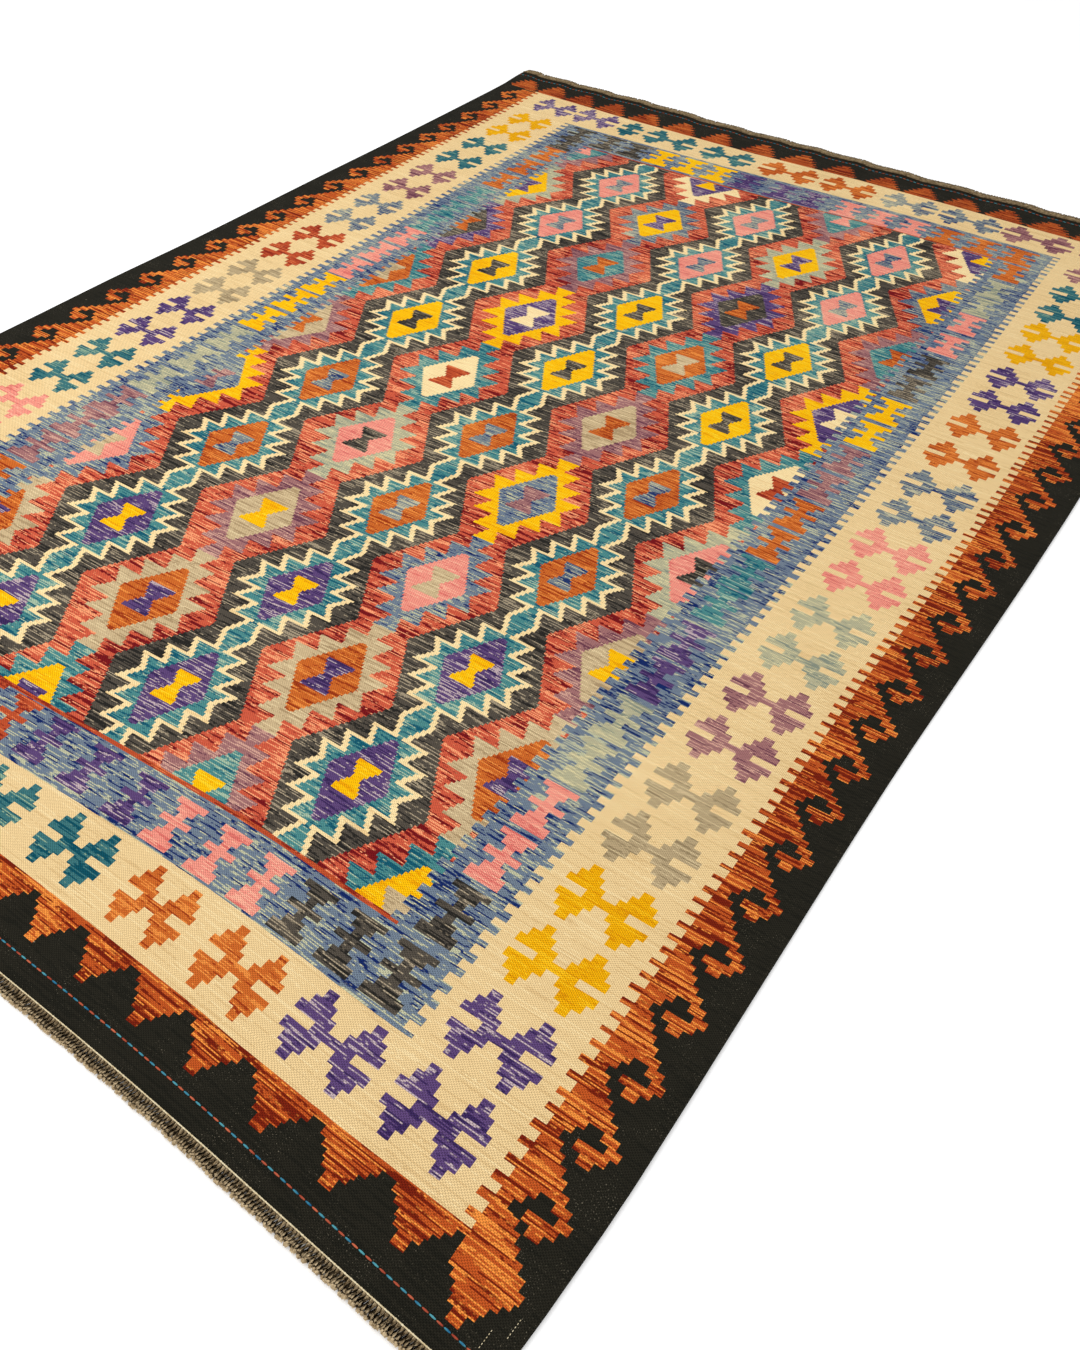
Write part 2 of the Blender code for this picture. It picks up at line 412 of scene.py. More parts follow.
NEAR_FIGURES = (
    # yarn, plan u of each figure
    ("charcoal", 0.9554, 0.8988, 0.843), ("pink", 0.7897, 0.732, 0.6715),
    ("violet", 0.617, 0.5503, 0.4836), ("brick", 0.427, 0.366), ("teal", 0.305, 0.244),
    ("yellow", 0.183, 0.122, 0.060),
)
FAR_FIGURES = (
    ("charcoal", 0.040, 0.111, 0.175), ("yellow", 0.2365, 0.3015, 0.365),
    ("violet", 0.4275, 0.5025, 0.5625), ("pink", 0.636, 0.699, 0.7615),
    ("tangerine", 0.8235, 0.890, 0.955),
)
FIGURE_ROWS = (
    # figures, the place of one in its row, how wide and how high it is woven
    (RIGHT_FIGURES, lambda v: (0.9565 + 0.008 * max(v - 0.6, 0), v), 1.0, 1.0),
    (LEFT_FIGURES, lambda v: (0.050 - 0.008 * max(v - 1.0, 0), v), 1.22, 0.98),
    (NEAR_FIGURES, lambda u: (u, 0.0385), 1.06, 0.92),
    (FAR_FIGURES, lambda u: (u, 1.7315), 1.33, 1.04),
)
woven_figures = 0
for figures, spot, sx, sy in FIGURE_ROWS:
    for yarn, *stations in figures:
        for at in stations:
            blocks(*plan(*spot(at)), FIGURE, yarn, sx, sy)
            woven_figures += 1
print("guard figures:", woven_figures)

# %% [markdown]
# ## The cream band and its crosses
# Paired crosses walk round the cream band, two of each colour. One is a pair of stepped
# lozenges, with a slot cut into the outer side of each, tied by a bar. The far row has one
# half cross, where the weaver ran out of room.

# %% Crosses
WING = ((0.0135, 0.0286, 0.0444), (0.0140, 0.0194, 0.0548), (0.0125, 0.0098, 0.0645))
CROSS = (*WING, (0.0130, 0, 0.0304), *WING[::-1])
LOZENGE = ((0.0135, 0, 0.008), (0.0140, 0, 0.018), (0.0125, 0, 0.0275))
HALF_CROSS = (*LOZENGE, (0.0130, 0, 0.008), *LOZENGE[::-1])
RIGHT_CROSSES = (
    # yarn, plan u and v of each cross
    ("mauve", (1.090, 1.8115), (1.0915, 1.723)), ("petrol", (1.0915, 1.642), (1.0915, 1.563)),
    ("gold", (1.0915, 1.4885), (1.0915, 1.4077)), ("violet", (1.0915, 1.3246), (1.091, 1.246)),
    ("tangerine", (1.090, 1.1654), (1.0887, 1.0787)), ("sea", (1.087, 0.9953), (1.0853, 0.918)),
    ("pink", (1.0825, 0.8413), (1.0813, 0.7633)), ("sage", (1.078, 0.680), (1.076, 0.6013)),
    ("mauve", (1.0733, 0.5213), (1.0713, 0.4413)), ("grey", (1.0688, 0.3604), (1.0675, 0.2817)),
    ("gold", (1.066, 0.2021), (1.0654, 0.1213)), ("violet", (1.0638, 0.0388), (1.060, -0.045)),
)
LEFT_CROSSES = (
    ("violet", (-0.0815, 1.829)), ("gold", (-0.0827, 1.7336), (-0.0815, 1.6545)),
    ("petrol", (-0.080, 1.570), (-0.079, 1.4845)), ("mauve", (-0.0775, 1.400), (-0.076, 1.318)),
    ("sea", (-0.075, 1.2345), (-0.0735, 1.1545)), ("brick", (-0.072, 1.070), (-0.071, 0.991)),
    ("grey", (-0.070, 0.911), (-0.069, 0.8336)), ("violet", (-0.068, 0.7545), (-0.068, 0.6727)),
    ("petrol", (-0.068, 0.592), (-0.068, 0.511)), ("pink", (-0.068, 0.430), (-0.068, 0.349)),
    ("tangerine", (-0.068, 0.270), (-0.068, 0.192)), ("gold", (-0.068, 0.114), (-0.068, 0.036)),
    ("mauve", (-0.066, -0.042)),
)
NEAR_CROSSES = (
    ("violet", (0.9485, -0.0424)), ("tangerine", (0.837, -0.0388), (0.7267, -0.0358)),
    ("petrol", (0.6158, -0.0364), (0.503, -0.0372)), ("brick", (0.389, -0.0372), (0.275, -0.0372)),
    ("sea", (0.161, -0.0372), (0.047, -0.038)),
)
FAR_CROSSES = (
    ("petrol", (0.2075, 1.8195), (0.339, 1.8175)), ("tangerine", (0.475, 1.8185), (0.5975, 1.821)),
    ("sea", (0.720, 1.8205), (0.8375, 1.8185)), ("mauve", (0.961, 1.816)),
)
band(X_CREAM_L, X_CREAM_R, Y_CREAM_N, Y_CREAM_F, "cream", "cream", 0.0128, 0.0234)
EVEN_CROSSES = RIGHT_CROSSES + LEFT_CROSSES + NEAR_CROSSES
woven_crosses = 0
for crosses, sx, sy in ((EVEN_CROSSES, 1.0, 1.0), (FAR_CROSSES, 1.2, 1.1)):
    for yarn, *spots in crosses:
        for u, v in spots:
            blocks(*plan(u, v), CROSS, yarn, sx, sy)
            woven_crosses += 1
blocks(*plan(0.0225, 1.828), CROSS, "violet", 1.02, 1.1)
blocks(*plan(0.110, 1.8215), HALF_CROSS, "petrol", 1.2, 1.1)
print("whole crosses:", woven_crosses + 1)

# %% [markdown]
# ## Hooks and triangles on the black edge
# Down each side a row of running hooks curls towards the near end, and across each end a row
# of stepped triangles points outwards. A hook is eight steps, given in ribs from the comb: the
# body widens step by step until its top turns down and back on itself. At the near corners the
# body widens once more and turns into the last triangle of the end.

# %% Steps and places of the hooks and triangles
HOOK = (
    # the first step is the end of the curl of the hook before
    ((0, 4), (8, 17)), ((0, 6), (10.5, 14.5)), ((0, 8),), ((0, 10),), ((0, 12),), ((0, 14.5),),
    ((0, 8), (12.5, 17)), ((0, 6), (15, 19)),
)
HOOK_REACH = 17
# the last body of a near corner, in ribs and metres, and the block that closes a far corner
CORNER_STEPS, CORNER_STEP = (8, 10, 12, 14.5, 17, 19), 0.0104
FAR_CORNER_RIBS = 9
RIGHT_TIPS = (
    1.830, 1.760, 1.689, 1.618, 1.548, 1.477, 1.406, 1.336, 1.265, 1.194, 1.124, 1.0533, 0.9767,
    0.9033, 0.8367, 0.760, 0.6933, 0.6233, 0.5567, 0.4867, 0.4233, 0.355, 0.2875, 0.215, 0.148,
    0.077, 0.0109, -0.0558,
)
LEFT_TIPS = (
    1.836, 1.7636, 1.686, 1.606, 1.541, 1.468, 1.395, 1.3227, 1.250, 1.168, 1.091, 1.020, 0.9455,
    0.8727, 0.797, 0.727, 0.6545, 0.582, 0.510, 0.438, 0.366, 0.294, 0.223, 0.152, 0.081, 0.011,
    -0.058,
)
NEAR_TRIANGLE = (
    (0.009, 0.040, 0.040), (0.009, 0.0325, 0.0325), (0.009, 0.025, 0.025), (0.009, 0.017, 0.017),
    (0.014, 0.009, 0.009),
)
FAR_TRIANGLE = (
    (0.0120, 0.042, 0.050), (0.0120, 0.034, 0.043), (0.0120, 0.026, 0.035), (0.0120, 0.018, 0.026),
    (0.0110, 0.008, 0.016),
)
NEAR_TIPS = (
    -0.122, -0.065, 0.008, 0.081, 0.154, 0.227, 0.300, 0.373, 0.447, 0.520, 0.594, 0.6612, 0.7279,
    0.7976, 0.8691, 0.9461, 1.0212, 1.0945,
)
FAR_TIPS = (
    -0.207, -0.1315, -0.0565, 0.0215, 0.109, 0.1965, 0.286, 0.379, 0.469, 0.554, 0.644, 0.721,
    0.8015, 0.8835, 0.9665, 1.045, 1.120, 1.192,
)
STRIP_NEAR, STRIP_FAR = 0.0095, 0.003
print("hooks:", len(RIGHT_TIPS) + len(LEFT_TIPS), "triangles:", len(NEAR_TIPS) + len(FAR_TIPS))

# %% Weave the edge
band(X_RUST_L, X_RUST_R, Y_RUST_N, Y_RUST_F, "black", "rust", 0.0089, 0.0217)


def comb_foot(side):
    """Where the rust band's comb ends and the hooks start: the right side is 1, the left -1."""
    return X_RUST_R + COMB / 2 if side > 0 else X_RUST_L - COMB / 2


def hooks(side, tips):
    """A row of running hooks along one side, from its far end to its near end."""
    base = comb_foot(side)
    u_tip = (base + side * HOOK_REACH * RIB) / UNIT + MIDDLE[0]
    ys = [plan(u_tip, v)[1] for v in tips]
    pitches = [a - b for a, b in zip(ys, ys[1:])]
    for y, pitch in zip([ys[0] + pitches[0], *ys], [pitches[0], *pitches, pitches[-1]]):
        step = pitch / 8
        for k, spans in enumerate(HOOK):
            top = y - (k + 0.5) * step
            if top > Y_RUST_F or top < Y_RUST_N - 0.6 * step:
                continue
            for start, end in spans:
                weave(base + side * start * RIB, base + side * end * RIB, top, top - step, "rust")


hooks(1, RIGHT_TIPS)
hooks(-1, LEFT_TIPS)
weave(X_RUST_L - COMB / 2, X_RUST_R + COMB / 2, Y_RUST_N, Y_RUST_N - STRIP_NEAR, "rust")
weave(X_RUST_L - COMB / 2, X_RUST_R + COMB / 2, Y_RUST_F, Y_RUST_F + STRIP_FAR, "rust")
for u in NEAR_TIPS:
    slope(plan(u, -0.1)[0], Y_RUST_N - STRIP_NEAR, -1, NEAR_TRIANGLE, "rust")
for u in FAR_TIPS:
    # the triangles of the far end are woven in a darker rust than the rest
    slope(plan(u, 1.9)[0], Y_RUST_F + STRIP_FAR, 1, FAR_TRIANGLE, "far rust")
for side, u_tip in ((1, 1.1624), (-1, -0.180)):
    base = comb_foot(side)
    x, y = plan(u_tip, -0.070)
    for ribs in CORNER_STEPS:
        weave(base, base + side * ribs * RIB, y, y - CORNER_STEP, "rust")
        y -= CORNER_STEP
    slope(x, y, -1, NEAR_TRIANGLE, "rust")
    weave(base, base + side * FAR_CORNER_RIBS * RIB, plan(1.0, 1.855)[1], Y_RUST_F, "rust")
shares = {yarn: round(float((chart == k).mean()), 3) for k, yarn in enumerate(YARNS)}
print("share of the cloth in each yarn:", shares)

# %% [markdown]
# ## From the chart to the cloth
# The chart's corners are moved to where they came to lie in the real cloth. Each column of
# corners follows a path between its lengthways lines and each course one between its crossways
# lines; going back and forth three times settles where they cross. A slow waver and a
# fraction of a millimetre of unevenness keep the stairs from looking printed.

# %% Corners in the cloth
# how deep in the waver sets in, and how big it and the unevenness are, across and along
SET_IN = 0.05
WAVER, UNEVEN = (0.0010, 0.0012), (0.00030, 0.00035)
plan_x = np.linspace(-PLAN_SIDE, PLAN_SIDE, columns + 1)
plan_y = np.linspace(PLAN_NEAR, PLAN_FAR, courses + 1)
rulers_x = np.linspace(-1.08, 1.08, 55)
rulers_y = np.linspace(-1.50, 1.50, 76)
paths_along = np.array([np.interp(plan_x, PLAN_X, lines_across(y)) for y in rulers_y])
paths_across = np.array([np.interp(plan_y, PLAN_Y, lines_along(x)) for x in rulers_x])
cloth_x = np.repeat(plan_x[:, None], courses + 1, axis=1)
cloth_y = np.repeat(plan_y[None, :], columns + 1, axis=0)
for _ in range(3):
    for c in range(columns + 1):
        cloth_x[c] = np.interp(cloth_y[c], rulers_y, paths_along[:, c])
    for r in range(courses + 1):
        cloth_y[:, r] = np.interp(cloth_x[:, r], rulers_x, paths_across[:, r])

from_side = np.minimum(plan_x + PLAN_SIDE, PLAN_SIDE - plan_x)[:, None]
from_end = np.minimum(plan_y - PLAN_NEAR, PLAN_FAR - plan_y)[None, :]
inside = np.clip(np.minimum(from_side, from_end) / SET_IN, 0, 1)
waver_x = WAVER[0] * np.sin(9.1 * cloth_y + 2.0 * np.sin(2.3 * cloth_x))
waver_y = WAVER[1] * np.sin(7.3 * cloth_x + 1.7 * np.sin(3.1 * cloth_y))
uneven = (inside > 0.02)[..., None] * rng.uniform(-1, 1, inside.shape + (2,))
cloth_x += inside * waver_x + UNEVEN[0] * uneven[..., 0]
cloth_y += inside * waver_y + UNEVEN[1] * uneven[..., 1]
print("cloth:", round(float(np.ptp(cloth_x)), 4), "by", round(float(np.ptp(cloth_y)), 4), "m")

# %% [markdown]
# ## Faces of one yarn
# Equal cells are gathered into the largest blocks that hold one yarn, within a grid of cuts
# that keeps every face short enough to follow the lie of the cloth. The cuts are closer along
# the far end, which waves. Corners that fall on a neighbour's side are shared with it, so the
# surface stays closed although its faces differ in size. A flat weave shows the same pattern
# on both faces, so the underside repeats the top, and the thin rim joins the two.

# %% Gather the cells
CUTS_ACROSS = sorted({0, columns, *range(0, columns, 109), 20, 44, 70})
CUTS_ALONG = sorted({0, courses, *range(0, courses, 106), 20, 50, courses - 50, courses - 30,
                     courses - 18, courses - 8})
END_CUTS_ACROSS = sorted({*CUTS_ACROSS, *range(0, columns, 14)})


def gather(c0, c1, r0, r1):
    """Blocks of one yarn that fill this part of the chart."""
    part = chart[c0:c1, r0:r1]
    free = np.ones(part.shape, bool)
    found = []
    for r in range(r1 - r0):
        c = 0
        while c < c1 - c0:
            if not free[c, r]:
                c += 1
                continue
            yarn = part[c, r]
            end = c
            while end < c1 - c0 and part[end, r] == yarn and free[end, r]:
                end += 1
            top = r + 1
            while top < r1 - r0 and (part[c:end, top] == yarn).all():
                top += 1
            free[c:end, r:top] = False
            found.append((c0 + c, c0 + end, r0 + r, r0 + top, int(yarn)))
            c = end
    return found


pieces = []
for r0, r1 in zip(CUTS_ALONG, CUTS_ALONG[1:]):
    cuts = END_CUTS_ACROSS if r0 >= courses - 30 else CUTS_ACROSS
    for c0, c1 in zip(cuts, cuts[1:]):
        pieces += gather(c0, c1, r0, r1)
corners = sorted({(c, r) for c0, c1, r0, r1, _ in pieces for c in (c0, c1) for r in (r0, r1)})
print("blocks:", len(pieces), "corners:", len(corners))

# %% [markdown]
# ## The lie of the cloth
# A rug fresh from its fold is never dead flat. Low ripples run across it, the far left corner
# lifts off the floor, and the far end stands in a row of small waves, each of which rises
# slowly and falls off at once. A cloth simulation could find such a lie, but a sum of sines is
# quick, comes out the same each time, and puts every wave where the photo has it.

# %% Lay the cloth down
RIPPLE, END_WAVE, CORNER_LIFT = 0.0006, 0.0016, 0.0017
WAVES_FROM, WAVES_FULL = 1.35, 1.41
CORNER, CORNER_REACH = (-1.025, 1.446), (0.20, 0.13)


def lift(x, y):
    """How far the cloth is off the floor at a place of the cloth."""
    ripple = RIPPLE * (1 + np.sin(5.1 * y + 1.3 * np.sin(1.9 * x)))
    to_end = np.clip((y - WAVES_FROM) / (WAVES_FULL - WAVES_FROM), 0, 1)
    # a sine and its double make a wave that rises slowly and falls off at once
    turn = 45 * x + 1.1 * np.sin(7 * x)
    end_wave = END_WAVE * to_end * (1.2 - np.sin(turn) - 0.45 * np.sin(2 * turn))
    away = np.hypot((x - CORNER[0]) / CORNER_REACH[0], (y - CORNER[1]) / CORNER_REACH[1])
    corner = CORNER_LIFT * np.clip(1 - away, 0, 1) ** 1.6
    return ripple + end_wave + corner


print("lift at the far left corner:", round(float(lift(*CORNER)) * 1000, 1), "mm")

# %% Corners and faces in space
numbers = {corner: k for k, corner in enumerate(corners)}
on_column, on_course = {}, {}
for c, r in corners:
    on_column.setdefault(c, []).append(r)
for c, r in sorted(corners, key=lambda corner: (corner[1], corner[0])):
    on_course.setdefault(r, []).append(c)


def between(values, low, high):
    """The sorted values from low up to, but without, high."""
    return values[bisect_left(values, low):bisect_left(values, high)]


def outline_of(c0, c1, r0, r1):
    """The corners round a block, anticlockwise from its near left one."""
    near = [(c, r0) for c in between(on_course[r0], c0, c1)]
    right = [(c1, r) for r in between(on_column[c1], r0, r1)]
    far = [(c, r1) for c in reversed(between(on_course[r1], c0 + 1, c1 + 1))]
    left = [(c0, r) for r in reversed(between(on_column[c0], r0 + 1, r1 + 1))]
    return [numbers[corner] for corner in near + right + far + left]


count = len(corners)
at_c, at_r = np.array(corners).T
lie_x, lie_y = cloth_x[at_c, at_r] + SHIFT[0], cloth_y[at_c, at_r] + SHIFT[1]
lie_z = lift(lie_x, lie_y)
top = np.column_stack((lie_x, lie_y, lie_z + CLOTH_THICKNESS))
under = np.column_stack((lie_x, lie_y, lie_z))
faces = [outline_of(*piece[:4]) for piece in pieces]
rim = outline_of(0, columns, 0, courses)
faces += [[count + k for k in reversed(face)] for face in faces]
faces += [[count + a, count + b, b, a] for a, b in zip(rim, rim[1:] + rim[:1])]
print("faces:", len(faces), "up to", round(float(lie_z.max()) * 1000, 1), "mm off the floor")

# %% The mesh, with one map for the weave and one for baking
cloth_mesh = bpy.data.meshes.new("woven cloth")
cloth_mesh.from_pydata(np.vstack((top, under)).tolist(), [], faces)
yarn_of_face = [piece[4] for piece in pieces] * 2 + [0] * len(rim)
cloth_mesh.polygons.foreach_set("material_index", yarn_of_face)
cloth_mesh.polygons.foreach_set("use_smooth", [True] * len(faces))
on_rim = {*rim, *(count + k for k in rim)}
for edge in cloth_mesh.edges:
    a, b = edge.vertices
    edge.use_edge_sharp = a in on_rim and b in on_rim
corner_plan = np.column_stack((plan_x[at_c], plan_y[at_r]))
corner_plan = np.vstack((corner_plan, corner_plan)).astype(np.float32)
of_loop = np.empty(len(cloth_mesh.loops), np.int32)
cloth_mesh.loops.foreach_get("vertex_index", of_loop)
weave_map = cloth_mesh.uv_layers.new(name="weave")
weave_map.data.foreach_set("uv", corner_plan[of_loop].ravel())
bake_map = cloth_mesh.uv_layers.new(name="OFBake")
low, size = corner_plan.min(axis=0), np.ptp(corner_plan, axis=0)
bake_map.data.foreach_set("uv", ((corner_plan[of_loop] - low) / size).ravel())
cloth_mesh.validate()
cloth = bpy.data.objects.new("woven_cloth", cloth_mesh)
bpy.context.collection.objects.link(cloth)
triangles = sum(len(face) - 2 for face in faces)
print("cloth:", triangles, "triangles")

# %% [markdown]
# ## Short functions for node trees
# A node tree reads more easily as a row of sums. `put` adds one node, makes its settings,
# fills its inputs and gives its outputs, and each of the functions after it does so for one
# kind of node. `new_group` starts a group whose inputs and outputs have names.

# %% A colour, and one new node
def paint(red, green, blue):
    """A colour in steps of 0 to 255, as the linear values that a shader works in."""
    return (*(((x / 255 + 0.055) / 1.055) ** 2.4 for x in (red, green, blue)), 1.0)


def fill(tree, socket, value):
    """Links another node's output to a socket, or gives the socket its own value."""
    if isinstance(value, bpy.types.NodeSocket):
        tree.links.new(value, socket)
    else:
        socket.default_value = value


def put(tree, kind, inputs, **settings):
    """A new node with its settings made and its inputs filled. Gives its outputs."""
    made = tree.nodes.new(kind)
    for label, value in settings.items():
        setattr(made, label, value)
    for label, value in inputs.items():
        fill(tree, made.inputs[label], value)
    return made.outputs


print("a middle grey as a shader reads it:", round(paint(128, 128, 128)[0], 3))

# %% One function for each kind of node
def maths(tree, operation, *values):
    """One sum of up to three values."""
    return put(tree, "ShaderNodeMath", dict(enumerate(values)), operation=operation)[0]


def times(tree, a, b):
    return maths(tree, "MULTIPLY", a, b)


def plus(tree, a, b):
    return maths(tree, "ADD", a, b)


def line(tree, value, slope_of_line, start):
    """A straight line: the value times its slope, plus where it starts."""
    return maths(tree, "MULTIPLY_ADD", value, slope_of_line, start)


def blend(tree, factor, a, b, mode="MIX"):
    return put(tree, "ShaderNodeMix", {0: factor, 6: a, 7: b}, data_type="RGBA", blend_type=mode)[2]


def ramp(tree, value, low, high):
    """0 below low, 1 above high, and a straight run between them."""
    return put(tree, "ShaderNodeMapRange", {0: value, 1: low, 2: high})[0]


def noise(tree, place, scale, detail):
    return put(tree, "ShaderNodeTexNoise", {"Vector": place, "Scale": scale, "Detail": detail})[0]


def vector(tree, x, y, z=0.0):
    return put(tree, "ShaderNodeCombineXYZ", {0: x, 1: y, 2: z})[0]


def parts(tree, place):
    return put(tree, "ShaderNodeSeparateXYZ", {0: place})


# %% Node groups with named inputs
KINDS = {
    float: "NodeSocketFloat", int: "NodeSocketInt", tuple: "NodeSocketColor",
    Vector: "NodeSocketVector", "Geometry": "NodeSocketGeometry", "Material": "NodeSocketMaterial",
}


def new_group(name, takes, gives, family="ShaderNodeTree"):
    """An empty node group. Each input has its usual value, or only its kind."""
    tree = bpy.data.node_groups.new(name, family)
    for label, usual in takes.items():
        is_kind = isinstance(usual, (type, str))
        kind = KINDS[usual if is_kind else type(usual)]
        socket = tree.interface.new_socket(label, in_out="INPUT", socket_type=kind)
        if not is_kind:
            socket.default_value = usual
    for label, kind in gives.items():
        tree.interface.new_socket(label, in_out="OUTPUT", socket_type=KINDS[kind])
    print("group:", name)
    return tree, tree.nodes.new("NodeGroupInput").outputs, tree.nodes.new("NodeGroupOutput").inputs


def use(tree, group, values):
    """One use of a group in another tree."""
    return put(tree, "ShaderNodeGroup", values, node_tree=group)


# %% [markdown]
# ## Dyed wool
# Hand-dyed yarn changes shade every few hand-widths, and each pass of it lies in the cloth as
# one thin line, so every colour breaks up into level streaks that are long across the rug and
# one or two courses high. The weave itself is beads of weft that bulge over one rib and dive
# under the next, half a rib further in every other course. Its group paints shade into the pits
# where the weft dives and a faint shaded line between rows, and it also counts the rows and
# throws a dice for each bead. The streaks are noise that is stretched across the rug and read
# once a row, with the dice added, so that the ends of a streak fray by whole beads.

# %% The weft-faced weave
NOWHERE = Vector((0, 0, 0))
weaving, taken, given = new_group(
    "weft-faced weave", {"Place": NOWHERE},
    {"Height": float, "Pit Shade": float, "Row": float, "Chance": float},
)


def round_part(count):
    """How far up the round of a yarn a place is, one yarn to each whole count."""
    return maths(weaving, "ABSOLUTE", maths(weaving, "SINE", times(weaving, count, pi)))


x, y, _ = parts(weaving, taken["Place"])
row = maths(weaving, "DIVIDE", y, COURSE)
whole_row = maths(weaving, "FLOOR", row)
shift = times(weaving, maths(weaving, "MODULO", whole_row, 2.0), 0.5)
bead = plus(weaving, maths(weaving, "DIVIDE", x, RIB), shift)
over, round_yarn = round_part(bead), round_part(row)
crown = maths(weaving, "POWER", over, 0.7)
fill(weaving, given["Height"], times(weaving, crown, maths(weaving, "POWER", round_yarn, 0.5)))
# painted shade: a dark pit where the weft dives at each end of a bead, and a faint shaded line between
# two rows
pit_shade = line(weaving, ramp(weaving, over, 0.0, 0.72), 0.82, 0.38)
furrow_shade = line(weaving, round_yarn, 0.30, 0.82)
fill(weaving, given["Pit Shade"], times(weaving, pit_shade, furrow_shade))
fill(weaving, given["Row"], whole_row)
at_bead = vector(weaving, maths(weaving, "FLOOR", bead), whole_row)
fill(weaving, given["Chance"], put(weaving, "ShaderNodeTexWhiteNoise", {"Vector": at_bead})["Value"])

# %% The streaks of hand-dyed yarn
FRAY, SOFT_EDGE = 0.08, 0.02
streaks, taken, given = new_group(
    "dyed streaks",
    {
        "Place": NOWHERE, "Row": 0.0, "Chance": 0.5, "Length": 0.05, "Rows": 2.0, "Share": 0.3,
        "Seed": 0.0,
    },
    {"Streak": float},
)
x, _, _ = parts(streaks, taken["Place"])
along_yarn = maths(streaks, "DIVIDE", x, taken["Length"])
up_cloth = maths(streaks, "DIVIDE", taken["Row"], taken["Rows"])
shade = noise(streaks, vector(streaks, along_yarn, up_cloth, taken["Seed"]), 1.0, 1.5)
# each bead may fall a little to either side of the streak's edge
shade = plus(streaks, shade, line(streaks, taken["Chance"], FRAY, -FRAY / 2))
# the noise stays near 0.5, so the share picks a threshold around it
threshold = line(streaks, taken["Share"], -0.42, 0.71)
low = plus(streaks, threshold, -SOFT_EDGE)
fill(streaks, given["Streak"], ramp(streaks, shade, low, plus(streaks, threshold, SOFT_EDGE)))

# %% One dyed yarn
DRIFT = 0.7
# how many times a metre each noise turns: balls of yarn, fuzz, specks of lint, dusty places
BALLS, FUZZ, SPECKS, DUST = 6.0, 420.0, 600.0, 22.0
dyed, taken, given = new_group(
    "dyed wool",
    {
        "Place": NOWHERE, "Base": (0.5, 0.5, 0.5, 1.0), "Dark": (0.3, 0.3, 0.3, 1.0),
        "Light": (0.7, 0.7, 0.7, 1.0), "Dark Share": 0.3, "Light Share": 0.2, "Length": 0.05,
        "Dark Rows": 2.2, "Pit Shade And Fuzz": 0.2, "Lint": 0.0, "Seed": 0.0,
    },
    {"Colour": tuple, "Height": float},
)
woven = use(dyed, weaving, {"Place": taken["Place"]})
# one ball of yarn is darker as a whole than the next, so the shares drift over the cloth
drift = line(dyed, noise(dyed, taken["Place"], BALLS, 1.0), DRIFT, -DRIFT / 2)
beads = {"Place": taken["Place"], "Row": woven["Row"], "Chance": woven["Chance"]}
dark = use(dyed, streaks, {
    **beads, "Length": taken["Length"], "Rows": taken["Dark Rows"],
    "Share": plus(dyed, taken["Dark Share"], drift), "Seed": taken["Seed"],
})["Streak"]
light_share = maths(dyed, "SUBTRACT", taken["Light Share"], drift)
light = use(dyed, streaks, {
    **beads, "Length": times(dyed, taken["Length"], 0.9), "Rows": 1.6, "Share": light_share,
    "Seed": plus(dyed, taken["Seed"], 31.0),
})["Streak"]
colour = blend(dyed, dark, taken["Base"], taken["Dark"])
colour = blend(dyed, light, colour, taken["Light"])
fuzz = noise(dyed, taken["Place"], FUZZ, 2.0)
# painted shade of the weave's pits, with a random fuzz of tone, multiplied into the colour
pit_shade_and_fuzz = times(dyed, woven["Pit Shade"], line(dyed, fuzz, 0.5, 0.75))
colour = blend(dyed, taken["Pit Shade And Fuzz"], colour, vector(dyed, pit_shade_and_fuzz, pit_shade_and_fuzz, pit_shade_and_fuzz), "MULTIPLY")
# specks of pale lint, here and there, that show on dark wool
specks = ramp(dyed, noise(dyed, taken["Place"], SPECKS, 1.0), 0.66, 0.74)
dusty = ramp(dyed, noise(dyed, taken["Place"], DUST, 2.0), 0.44, 0.64)
lint = times(dyed, times(dyed, specks, dusty), taken["Lint"])
fill(dyed, given["Colour"], blend(dyed, lint, colour, taken["Light"]))
fill(dyed, given["Height"], line(dyed, fuzz, 0.4, woven["Height"]))

# %% [markdown]
# ## The palette
# Each yarn has a base colour, the deep and the pale shade that its streaks take, how much of
# the cloth those two cover, and how long a streak runs. Madder and indigo take the dye most
# unevenly; undyed cream hardly changes at all. Black has no pale streaks: its pale shade is
# that of the lint, and its share is below nothing.

